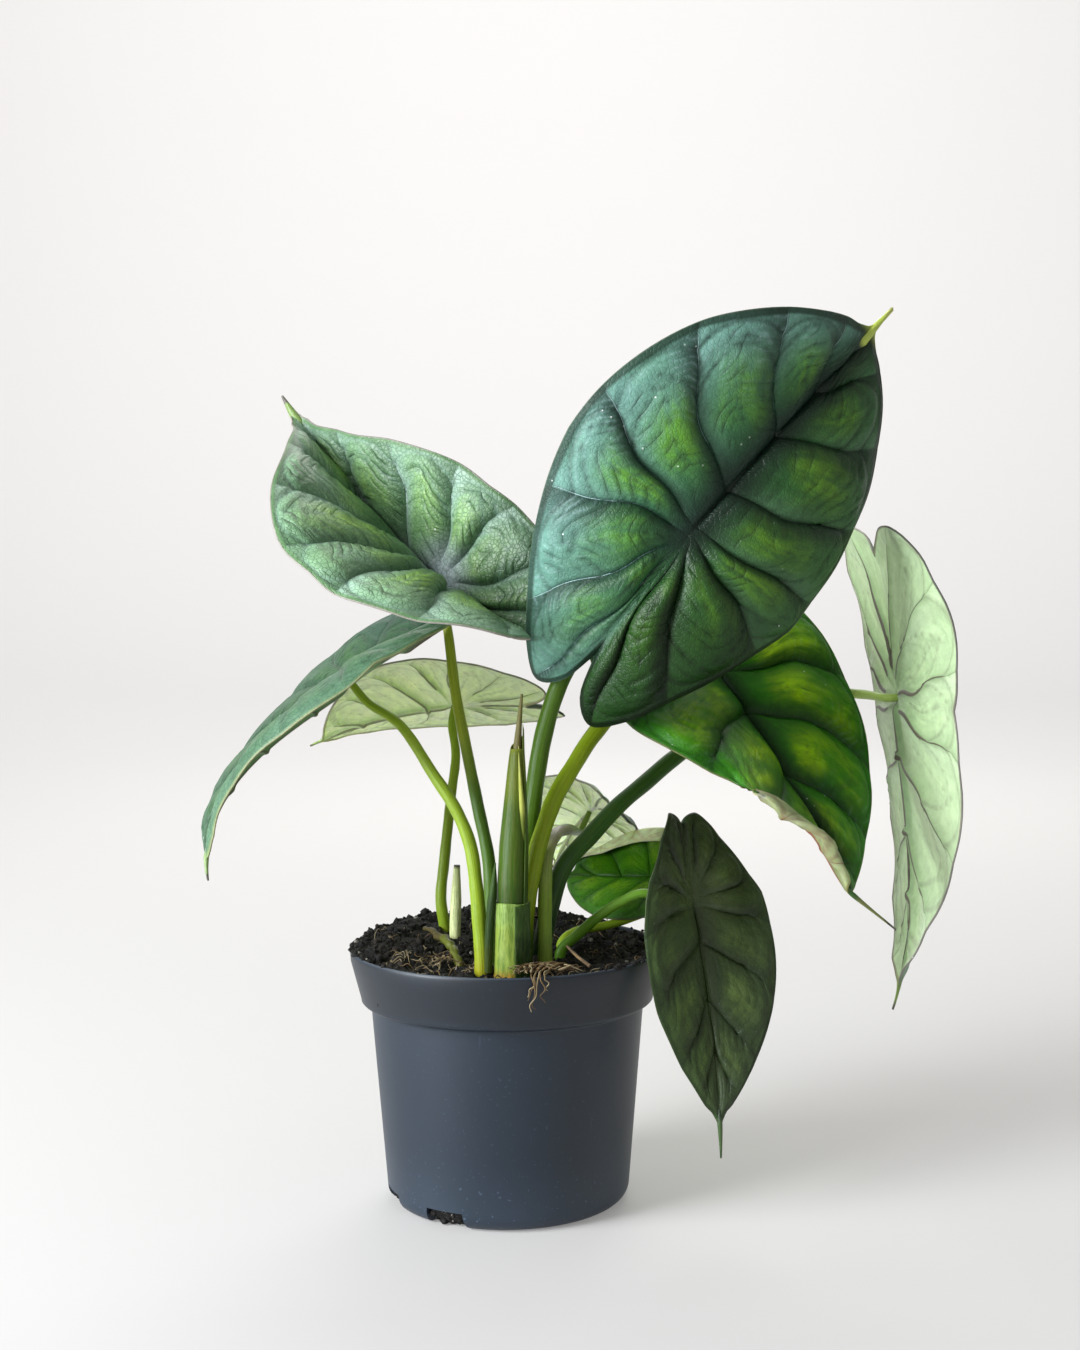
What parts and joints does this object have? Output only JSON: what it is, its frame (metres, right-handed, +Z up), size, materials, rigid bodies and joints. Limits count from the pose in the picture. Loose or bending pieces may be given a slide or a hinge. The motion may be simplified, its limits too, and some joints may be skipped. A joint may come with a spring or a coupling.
{
  "type": "potted dragon scale alocasia",
  "caption": "Dragon scale alocasia with arrow-shaped quilted leaves on arching stalks, growing in peat soil in a round nursery pot.",
  "frame": {"origin": "centre of the pot's foot, on the surface that it stands on", "axes": "+Z up, +X to the right as the plant is seen from its front, +Y away from that viewer"},
  "size_m": [0.2847, 0.1727, 0.3337],
  "materials": {
    "pot": "satin slate blue-grey moulded plastic",
    "soil": "matt, dark damp peat with fibres",
    "shoot": "satin green sheath with a brown-olive point",
    "stub": "matt cream-green cut stalk",
    "old_stalk": "matt shrivelled olive",
    "dark_stalk": "satin dark green",
    "green_stalk": "satin fresh green",
    "yellow_stalk": "satin yellow-olive",
    "sheath_stalk": "satin light green with a purple-brown sheath top",
    "dark_leaf": "satin blue-green quilted leaf with dark veins",
    "green_leaf": "satin green quilted leaf with pale veins",
    "bright_leaf": "satin bright green leaf",
    "pale_leaf": "matt pale silvery green underside with dark veins",
    "old_leaf": "satin dark olive-grey leaf"
  },
  "bodies": {
    "root": {"pot": "pot", "soil": "soil", "main_shoot": "shoot", "cut_stub": "stub", "old_stalk": "old_stalk", "stalk_upper_right": "dark_stalk", "stalk_upper_left": "green_stalk", "stalk_drooping_left": "green_stalk", "stalk_mid_left": "green_stalk", "stalk_mid_right": "yellow_stalk", "stalk_far_right": "dark_stalk", "stalk_low_right": "green_stalk", "stalk_low_back": "green_stalk", "stalk_small_back": "sheath_stalk", "blade_upper_right": "dark_leaf", "blade_upper_left": "green_leaf", "blade_drooping_left": "green_leaf", "blade_mid_left": "pale_leaf", "blade_mid_right": "bright_leaf", "blade_far_right": "pale_leaf", "blade_low_right": "old_leaf", "blade_low_back": "bright_leaf", "blade_small_back": "pale_leaf"}
  },
  "joints": []
}
